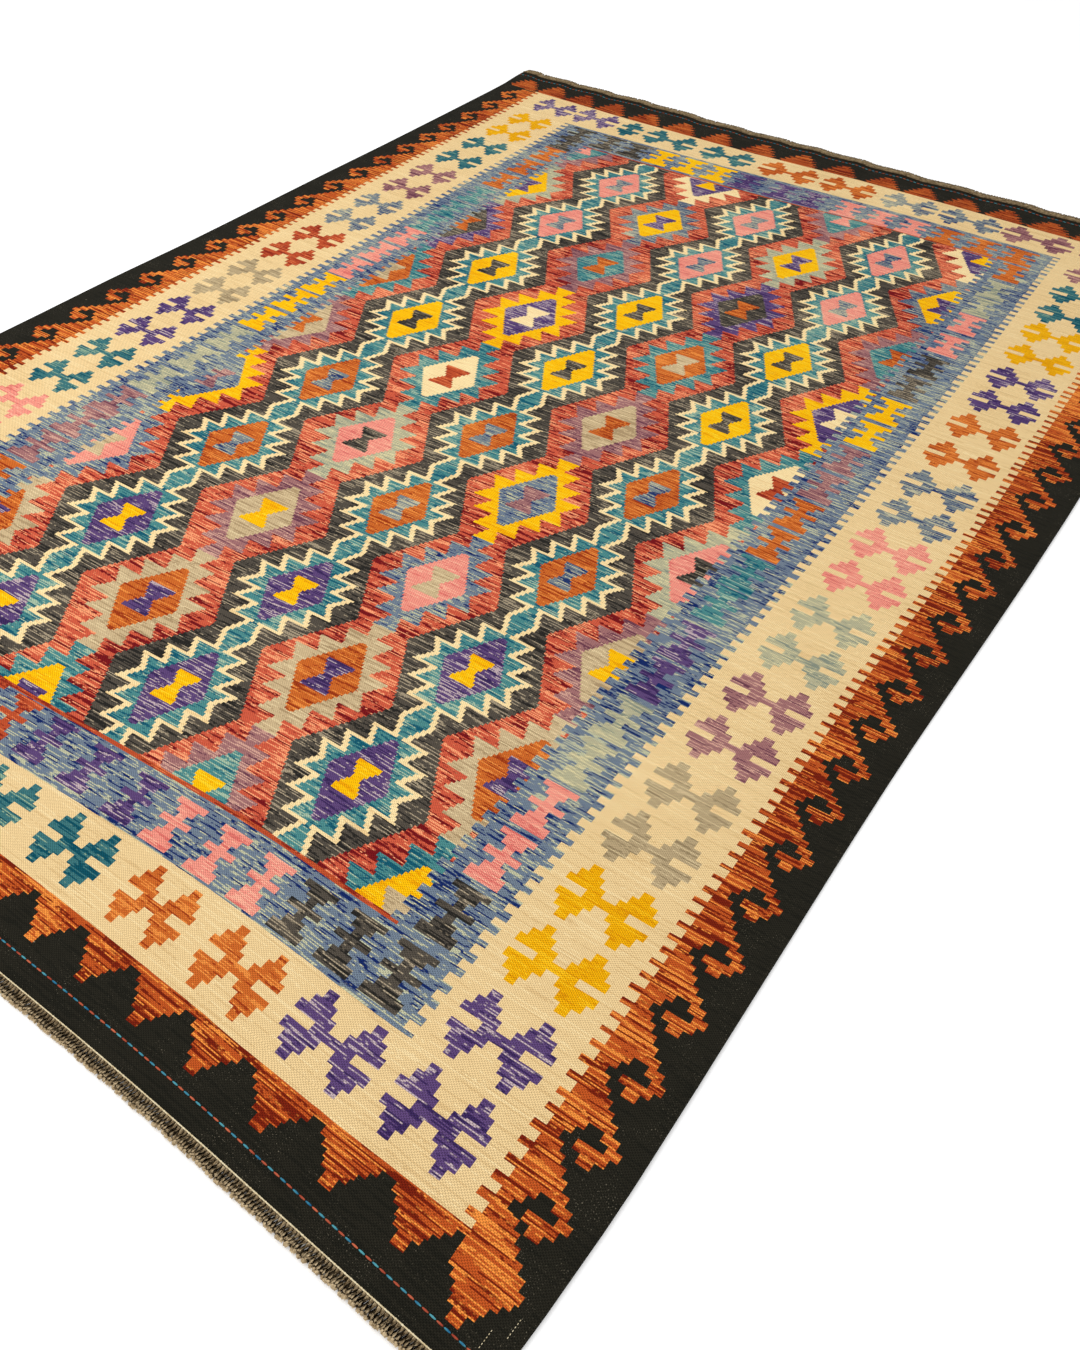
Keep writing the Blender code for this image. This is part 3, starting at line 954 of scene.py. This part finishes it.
# %% Colours of each yarn
PALETTE = {
    # base, deep, pale, share of deep, share of pale, streak length
    "black": ((37, 35, 28), (31, 30, 24), (164, 154, 132), 0.35, -0.30, 0.070),
    "cream": ((238, 206, 150), (226, 192, 136), (246, 218, 164), 0.25, 0.20, 0.140),
    "far rust": ((172, 76, 32), (112, 32, 14), (208, 112, 50), 0.40, 0.24, 0.120),
    "rust": ((190, 84, 34), (118, 32, 14), (240, 144, 62), 0.44, 0.34, 0.120),
    "denim": ((112, 126, 142), (20, 40, 98), (190, 190, 158), 0.31, 0.31, 0.045),
    "charcoal": ((83, 76, 67), (40, 38, 35), (164, 149, 124), 0.38, 0.27, 0.070),
    "pink": ((240, 148, 130), (222, 114, 104), (250, 176, 150), 0.32, 0.28, 0.070),
    "violet": ((93, 69, 117), (58, 40, 88), (190, 170, 174), 0.34, 0.30, 0.056),
    "sage": ((182, 177, 144), (136, 144, 128), (216, 206, 160), 0.32, 0.30, 0.056),
    "teal": ((76, 136, 136), (20, 88, 108), (164, 188, 162), 0.36, 0.30, 0.063),
    "petrol": ((60, 114, 118), (12, 78, 94), (140, 168, 142), 0.38, 0.20, 0.080),
    "tangerine": ((203, 103, 41), (156, 56, 21), (235, 141, 64), 0.34, 0.30, 0.070),
    "mauve": ((160, 110, 109), (108, 62, 77), (208, 160, 143), 0.34, 0.30, 0.070),
    "yellow": ((253, 191, 8), (240, 164, 2), (255, 210, 40), 0.28, 0.25, 0.070),
    "gold": ((238, 171, 8), (222, 148, 4), (248, 190, 26), 0.34, 0.24, 0.084),
    "red": ((206, 90, 64), (118, 20, 26), (250, 160, 114), 0.40, 0.32, 0.070),
    "ivory": ((251, 223, 166), (240, 206, 148), (255, 233, 177), 0.25, 0.20, 0.070),
    "stone": ((205, 180, 138), (174, 148, 110), (226, 203, 158), 0.34, 0.26, 0.070),
    "brick": ((188, 78, 44), (140, 40, 26), (224, 118, 70), 0.34, 0.26, 0.084),
    "sea": ((122, 132, 136), (34, 54, 104), (196, 190, 158), 0.36, 0.32, 0.063),
    "grey": ((184, 162, 124), (152, 132, 98), (210, 188, 146), 0.34, 0.26, 0.070),
}
UNDYED = ("cream", "ivory", "stone", "grey")
print("yarns in the palette:", len(PALETTE))

# %% A material for each yarn
ON_CLOTH = ("ShaderNodeUVMap", {"uv_map": "weave"}, 0)
ON_OBJECT = ("ShaderNodeTexCoord", {}, "Object")


def wool_material(name, group, where, values, relief, roughness):
    """A matt material whose colour and relief come from a node group."""
    material = bpy.data.materials.new(name)
    material.use_nodes = True
    tree = material.node_tree
    kind, settings, output = where
    place = put(tree, kind, {}, **settings)[output]
    wool = use(tree, group, {"Place": place, **values})
    strength, depth = relief
    bump = put(tree, "ShaderNodeBump", {
        "Strength": strength, "Distance": depth, "Height": wool["Height"],
    })
    shader = tree.nodes["Principled BSDF"].inputs
    fill(tree, shader["Base Color"], wool["Colour"])
    fill(tree, shader["Normal"], bump[0])
    fill(tree, shader["Roughness"], roughness)
    fill(tree, shader["Specular IOR Level"], 0.05)
    return material


def yarn_material(yarn, seed):
    base, deep, pale, deep_share, pale_share, length = PALETTE[yarn]
    return wool_material(yarn + " wool", dyed, ON_CLOTH, {
        "Base": paint(*base), "Dark": paint(*deep), "Light": paint(*pale), "Dark Share": deep_share,
        "Light Share": pale_share, "Length": length, "Seed": seed,
        "Dark Rows": 3.4 if yarn == "red" else 2.2, "Lint": 0.6 if yarn == "black" else 0.0,
        # how strongly the painted pit shade and the fuzz darken the yarn
        "Pit Shade And Fuzz": 0.7 if yarn in UNDYED else 0.95,
    }, (0.6, 0.0008), 0.92)


for seed, yarn in enumerate(YARNS):
    cloth_mesh.materials.append(yarn_material(yarn, float(seed)))
print("yarns:", len(cloth_mesh.materials))

# %% [markdown]
# ## Loose yarn
# The fringe is the warp itself, a plied yarn of natural grey-beige wool, and the stitches are
# of thread. Their material reads the place on the object, so that each loop gets its own mix
# of fibres: a slow noise for the shade of the fleece and a fine one for the hairs.

# %% Materials for loose yarn
spun, taken, given = new_group(
    "spun yarn",
    {"Place": NOWHERE, "Base": (0.5, 0.5, 0.5, 1.0), "Dark": (0.3, 0.3, 0.3, 1.0), "Patch": 0.01},
    {"Colour": tuple, "Height": float},
)
patches = noise(spun, taken["Place"], maths(spun, "DIVIDE", 1.0, taken["Patch"]), 2.0)
hairs = noise(spun, taken["Place"], 1600.0, 2.0)
mixed = plus(spun, ramp(spun, patches, 0.35, 0.70), line(spun, hairs, 0.8, -0.4))
fill(spun, given["Colour"], blend(spun, mixed, taken["Base"], taken["Dark"]))
fill(spun, given["Height"], hairs)


def loose_yarn(name, base, dark, patch):
    values = {"Base": paint(*base), "Dark": paint(*dark), "Patch": patch}
    return wool_material(name, spun, ON_OBJECT, values, (0.4, 0.0003), 0.9)


grey_yarn = loose_yarn("warp loops", (222, 198, 158), (142, 119, 87), 0.004)
# the far loops are the same warp yarn, made darker as painted shade
shaded_far_yarn = loose_yarn("far warp loops", (176, 153, 117), (100, 82, 56), 0.006)
# a dark yarn that is painted shade: the shadow in the fringe's gaps and along the far edge
shade_yarn = loose_yarn("shaded warps", (72, 60, 43), (40, 33, 24), 0.004)
cream_thread = loose_yarn("cream thread", (252, 238, 200), (224, 202, 156), 0.006)
blue_thread = loose_yarn("blue stitches", (92, 168, 178), (30, 104, 150), 0.012)
red_thread = loose_yarn("red stitches", (212, 112, 80), (156, 60, 46), 0.030)
print("materials in the scene:", len(bpy.data.materials))

# %% [markdown]
# ## Fringe, thread and stitches with Geometry Nodes
# At each end the warps come out of the cloth and turn back in short loops, which lean over in
# slow waves. A loop is bent from a straight line: one coordinate follows a cosine, so that
# the ends stay apart, and the other a flattened sine, so that the legs run straight before
# they turn. Its section is an oval that is twisted along the way, which gives the look of two
# plies. One loop is drawn, then repeated along a path with its own lean and length. A thread
# is the same twisted oval run along a path, and a stitch is a small grain set out along one.

# %% Geometry node helpers
def shape(tree, kind, inputs, **settings):
    """The first output of a new geometry node."""
    return put(tree, "GeometryNode" + kind, inputs, **settings)[0]


def dress(tree, mesh, material):
    """Shades a mesh smoothly and sets its material."""
    smoothed = shape(tree, "SetShadeSmooth", {"Geometry": mesh})
    return shape(tree, "SetMaterial", {"Geometry": smoothed, "Material": material})


def spin(tree, curves, section, radius, material):
    """Gives curves an oval section that turns along the way, like two plies."""
    sides, turns, flatness = section
    length = put(tree, "GeometryNodeSplineParameter", {})["Length"]
    twisted = shape(tree, "SetCurveTilt", {"Curve": curves, "Tilt": times(tree, length, turns)})
    oval = shape(tree, "CurvePrimitiveCircle", {"Resolution": sides, "Radius": radius})
    oval = shape(tree, "Transform", {"Geometry": oval, "Scale": (1.0, flatness, 1.0)})
    tubes = shape(tree, "CurveToMesh", {"Curve": twisted, "Profile Curve": oval, "Fill Caps": True})
    return dress(tree, tubes, material)


def grow(name, tree, points, values):
    """Runs a geometry tree along a path through the points and keeps what it makes."""
    path = bpy.data.curves.new(name + " path", "CURVE")
    path.dimensions = "3D"
    spline = path.splines.new("POLY")
    spline.points.add(len(points) - 1)
    for point, place in zip(spline.points, points):
        point.co = (*place, 1.0)
    holder = bpy.data.objects.new(name + "_path", path)
    bpy.context.collection.objects.link(holder)
    grower = holder.modifiers.new(name, "NODES")
    grower.node_group = tree
    inputs = [item for item in tree.interface.items_tree if item.in_out == "INPUT"]
    labels = {item.name: item.identifier for item in inputs}
    for label, value in values.items():
        grower[labels[label]] = value
    evaluated = holder.evaluated_get(bpy.context.evaluated_depsgraph_get())
    mesh = bpy.data.meshes.new_from_object(evaluated)
    bpy.data.objects.remove(holder)
    mesh.name = name
    made = bpy.data.objects.new(name, mesh)
    bpy.context.collection.objects.link(made)
    print(name + ":", len(mesh.polygons), "faces")
    return made


# %% A row of warp loops
LOOP_PARTS, ARCH, OVERLAP = 8, 0.0007, 0.0006
# sides of the section, radians of twist in a metre, flatness of the oval
YARN, THREAD = (5, 900.0, 0.66), (6, 700.0, 0.7)
loops, taken, given = new_group("row of warp loops", {
    "Path": "Geometry", "Loops": int, "Loop Width": float, "Loop Length": float,
    "Yarn Radius": float, "Bulge": float, "Lean": float, "Lean Waver": float, "Facing": float,
    "Seed": int, "Material": "Material",
}, {"Mesh": "Geometry"}, "GeometryNodeTree")
straight = shape(loops, "CurvePrimitiveLine", {})
straight = shape(loops, "ResampleCurve", {"Curve": straight, "Count": LOOP_PARTS})
turn = times(loops, put(loops, "GeometryNodeSplineParameter", {})["Factor"], pi)
half_width = times(loops, taken["Loop Width"], -0.5)
sideways = times(loops, maths(loops, "COSINE", turn), half_width)
reach = maths(loops, "POWER", maths(loops, "MAXIMUM", maths(loops, "SINE", turn), 0.0), 0.4)
bulge = maths(loops, "SINE", times(loops, reach, 2.8))
sideways = line(loops, bulge, times(loops, taken["Bulge"], -1.0), sideways)
outwards = times(loops, reach, times(loops, taken["Loop Length"], -1.0))
arch = times(loops, maths(loops, "SINE", times(loops, turn, 2.0)), ARCH)
bent_line = vector(loops, sideways, outwards, arch)
bent = shape(loops, "SetPosition", {"Geometry": straight, "Position": bent_line})

# %% How the loops stand along their path
stations = shape(loops, "ResampleCurve", {"Curve": taken["Path"], "Count": taken["Loops"]})
index = shape(loops, "InputIndex", {})
slow_wave, quick_wave = (
    maths(loops, "SINE", times(loops, index, radians_a_loop)) for radians_a_loop in (0.43, 2.4)
)
waver = plus(loops, slow_wave, times(loops, quick_wave, 0.8))
chance = put(loops, "FunctionNodeRandomValue", {"Min": -0.9, "Max": 0.9, "Seed": taken["Seed"]})[1]
lean = line(loops, plus(loops, waver, chance), taken["Lean Waver"], taken["Lean"])
about_face = times(loops, maths(loops, "COMPARE", taken["Facing"], -1.0, 0.1), pi)
lean = plus(loops, times(loops, lean, taken["Facing"]), about_face)
longer = put(loops, "FunctionNodeRandomValue", {"Min": 0.96, "Max": 1.03, "Seed": taken["Seed"]})[1]
# every other loop lies a little higher, so that neighbours overlap
higher = vector(loops, 0.0, 0.0, times(loops, maths(loops, "MODULO", index, 2.0), OVERLAP))
raised = shape(loops, "SetPosition", {"Geometry": stations, "Offset": higher})
set_out = shape(loops, "InstanceOnPoints", {
    "Points": raised, "Instance": bent, "Rotation": vector(loops, 0.0, 0.0, lean),
    "Scale": vector(loops, 1.0, longer, 1.0),
})
real = shape(loops, "RealizeInstances", {"Geometry": set_out})
fill(loops, given["Mesh"], spin(loops, real, YARN, taken["Yarn Radius"], taken["Material"]))
print("nodes:", len(loops.nodes))

# %% A twisted thread
thread, taken, given = new_group("twisted thread", {
    "Path": "Geometry", "Radius": float, "Material": "Material",
}, {"Mesh": "Geometry"}, "GeometryNodeTree")
fine = shape(thread, "ResampleCurve", {"Curve": taken["Path"], "Count": 700})
fill(thread, given["Mesh"], spin(thread, fine, THREAD, taken["Radius"], taken["Material"]))
print("nodes:", len(thread.nodes))

# %% A running stitch in two colours
stitch, taken, given = new_group("running stitch", {
    "Path": "Geometry", "Stitches": int, "Stitch Length": float, "Stitch Width": float,
    "First Material": "Material", "Second Material": "Material",
}, {"Mesh": "Geometry"}, "GeometryNodeTree")
stations = put(stitch, "GeometryNodeCurveToPoints", {
    "Curve": taken["Path"], "Count": taken["Stitches"],
})
grain = shape(stitch, "MeshUVSphere", {"Segments": 6, "Rings": 4, "Radius": 0.5})
grain = shape(stitch, "Transform", {"Geometry": grain, "Rotation": (0.0, pi / 2, 0.0)})
thick = times(stitch, taken["Stitch Width"], 0.7)
size = vector(stitch, taken["Stitch Length"], taken["Stitch Width"], thick)
grain = shape(stitch, "Transform", {"Geometry": grain, "Scale": size})
tangent = {"Vector": stations["Tangent"]}
along_path = put(stitch, "FunctionNodeAlignRotationToVector", tangent, axis="X")[0]
odd = maths(stitch, "MODULO", shape(stitch, "InputIndex", {}), 2.0)
even = maths(stitch, "SUBTRACT", 1.0, odd)
both = shape(stitch, "JoinGeometry", {})
for chosen, material in ((odd, "First Material"), (even, "Second Material")):
    row = shape(stitch, "InstanceOnPoints", {
        "Points": stations["Points"], "Selection": chosen, "Instance": grain, "Rotation": along_path,
    })
    row = shape(stitch, "RealizeInstances", {"Geometry": row})
    stitch.links.new(dress(stitch, row, taken[material]), both.node.inputs[0])
fill(stitch, given["Mesh"], both)
print("nodes:", len(stitch.nodes))

# %% [markdown]
# ## Fringes, threads and stitches in place
# Each piece grows along a path that follows one end of the cloth, a little inside or outside
# it. A ray cast down on the cloth gives the path its height, so that threads and stitches
# ride over the waves. Under the fringe lies a second row of short dark loops, painted shade
# that stands for the shadow in the gaps between the loops.

# %% Paths along both ends
END_MARGIN, PATH_STEP = 0.006, 0.01
# a height is read at least this far inside the edge, where the cloth is sure to be
WELL_INSIDE = 0.002
top_of_cloth = BVHTree.FromPolygons(top.tolist(), faces[:len(pieces)])


def top_at(x, y):
    """How high the top of the cloth is at a place."""
    met = top_of_cloth.ray_cast(Vector((x, y, 0.1)), Vector((0, 0, -1)))[0]
    return met.z if met else float(lift(x, y)) + CLOTH_THICKNESS


def end_path(end, side, inwards, rise):
    """Points along one end of the cloth, this far inside it and above its upper face. The
    distance inside may be a table that is read like the edges."""
    x0, x1 = end[0][0] + END_MARGIN, end[-1][0] - END_MARGIN
    count = round((x1 - x0) / PATH_STEP)
    points = []
    for i in range(count + 1):
        x = x0 + (x1 - x0) * i / count
        inset = smooth(inwards, x) if isinstance(inwards, tuple) else inwards
        y = side * (smooth(end, x) - inset) + SHIFT[1]
        top_here = top_at(x + SHIFT[0], y - side * max(0.0, WELL_INSIDE - inset))
        points.append((x + SHIFT[0], y, top_here + rise))
    return points


def on_cloth(u, v):
    """A point on top of the cloth."""
    x, y = across(u) + SHIFT[0], along(v) + SHIFT[1]
    return (x, y, top_at(x, y))


print("top of the cloth at its middle:", round(top_at(0.0, 0.0) * 1000, 1), "mm")

# %% Fringes
FRINGE = {"Loop Width": 0.0044, "Yarn Radius": 0.0025, "Bulge": 0.0026, "Material": grey_yarn}
near_fringe = grow("near_fringe", loops, end_path(NEAR_END, -1, -0.0006, 0.0002), {
    **FRINGE, "Loops": 392, "Loop Length": 0.0156, "Lean": radians(-8), "Lean Waver": radians(6),
    "Facing": 1.0, "Seed": 3,
})
far_fringe = grow("far_fringe", loops, end_path(FAR_END, 1, 0.0030, 0.0012), {
    **FRINGE, "Loops": 540, "Loop Length": 0.0225, "Lean": radians(8), "Lean Waver": radians(3),
    "Facing": -1.0, "Seed": 8, "Material": shaded_far_yarn,
})
# short dark loops under the fringe, painted shade for the gaps between its loops
SHADED = {**FRINGE, "Loop Width": 0.0026, "Yarn Radius": 0.0018, "Material": shade_yarn,
          "Lean Waver": 0.0}
near_shade_loops = grow("near_shade_loops", loops, end_path(NEAR_END, -1, 0.0, -0.0004), {
    **SHADED, "Loops": 400, "Loop Length": 0.0142, "Lean": radians(-8), "Facing": 1.0, "Seed": 5,
})
far_shade_loops = grow("far_shade_loops", loops, end_path(FAR_END, 1, 0.0, -0.0004), {
    **SHADED, "Loops": 414, "Loop Length": 0.0160, "Lean": radians(8), "Facing": -1.0, "Seed": 6,
})

# %% Threads and stitches
near_thread = grow("near_thread", thread, end_path(NEAR_END, -1, 0.0008, 0.0010), {
    "Radius": 0.0012, "Material": cream_thread,
})
# the far thread is real, but its dark colour is painted shade, the shadow line along the far edge
far_thread = grow("far_thread", thread, end_path(FAR_END, 1, 0.0042, 0.0010), {
    "Radius": 0.0009, "Material": shade_yarn,
})
NEAR_INSET = ((-1.003, 0.030), (0.30, 0.030), (0.62, 0.028), (0.971, 0.0225))
FAR_INSET = ((-1.025, 0.022), (0.0, 0.0195), (1.024, 0.015))
STITCHES = {"Stitches": 208, "Stitch Length": 0.0092, "First Material": blue_thread,
            "Second Material": red_thread}
near_stitches = grow("near_stitches", stitch, end_path(NEAR_END, -1, NEAR_INSET, 0.0), {
    **STITCHES, "Stitch Width": 0.0025,
})
far_stitches = grow("far_stitches", stitch, end_path(FAR_END, 1, FAR_INSET, 0.0), {
    **STITCHES, "Stitch Width": 0.0020,
})
# a few stray stitches of pale thread near one corner
STRAY = {"Stitches": 6, "Stitch Length": 0.0022, "Stitch Width": 0.0008,
         "First Material": cream_thread, "Second Material": cream_thread}
stray_stitches = [
    grow("stray_stitches_1", stitch, [on_cloth(1.199, -0.124), on_cloth(1.198, -0.138)], STRAY),
    grow("stray_stitches_2", stitch, [on_cloth(1.186, -0.141), on_cloth(1.185, -0.154)], STRAY),
]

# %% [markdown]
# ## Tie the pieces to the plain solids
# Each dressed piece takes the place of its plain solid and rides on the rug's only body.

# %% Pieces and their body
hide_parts("rug_cloth")
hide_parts("fringe_near")
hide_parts("fringe_far")
warps = (near_fringe, far_fringe, near_shade_loops, far_shade_loops, near_thread, far_thread)
sewn = (near_stitches, far_stitches, *stray_stitches)
for piece in (cloth, *warps, *sewn):
    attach(piece, "root")
print("pieces:", 1 + len(warps) + len(sewn))

# %% [markdown]
# ## Floor, light and camera
# The rug was photographed on white, from about the height of a person's chest, near one
# corner. The floor is plain and pale. A bright even sky does most of the lighting, and one
# broad soft lamp from the left gives the weave a little relief. The camera stands where the
# lines of the borders in the photo say that it stood.

# %% Floor
bpy.ops.mesh.primitive_plane_add(size=40)
floor = bpy.context.object
floor.name = "floor"
pale = bpy.data.materials.new("pale floor")
pale.use_nodes = True
surface = pale.node_tree.nodes["Principled BSDF"].inputs
surface["Base Color"].default_value = (0.95, 0.95, 0.95, 1)
surface["Roughness"].default_value = 1.0
surface["Specular IOR Level"].default_value = 0.0
surface["Emission Color"].default_value = (1, 1, 1, 1)
surface["Emission Strength"].default_value = 0.22
floor.data.materials.append(pale)

# %% Light
sky = bpy.data.worlds.new("studio sky")
bpy.context.scene.world = sky
sky.use_nodes = True
glow = sky.node_tree.nodes["Background"].inputs
glow["Color"].default_value = (1, 1, 1, 1)
glow["Strength"].default_value = 0.76
lamp_data = bpy.data.lights.new("soft lamp", "AREA")
lamp_data.size = 3.0
lamp_data.energy = 50
lamp = bpy.data.objects.new("soft_lamp", lamp_data)
bpy.context.collection.objects.link(lamp)
lamp.location = (-1.6, -1.0, 2.8)
lamp.rotation_euler = (Vector((0, 0, 0)) - lamp.location).to_track_quat("-Z", "Y").to_euler()
bpy.context.scene.view_settings.view_transform = "Standard"

# %% Camera
camera_data = bpy.data.cameras.new("camera")
camera_data.lens = 30.28
camera_data.sensor_width = 36.0
camera = bpy.data.objects.new("camera", camera_data)
bpy.context.collection.objects.link(camera)
stand = Vector((1.1397 + SHIFT[0], -1.6573 + SHIFT[1], 1.2283))
ahead = Vector((-0.38396, 0.58121, -0.71747)).normalized()
right = Vector((0.82497, 0.56495, 0.01617))
above = right.cross(ahead).normalized()
right = ahead.cross(above)
camera.matrix_world = Matrix((
    (right.x, above.x, -ahead.x, stand.x),
    (right.y, above.y, -ahead.y, stand.y),
    (right.z, above.z, -ahead.z, stand.z),
    (0, 0, 0, 1),
))
bpy.context.scene.camera = camera
print("camera", round(stand.z, 2), "m up")
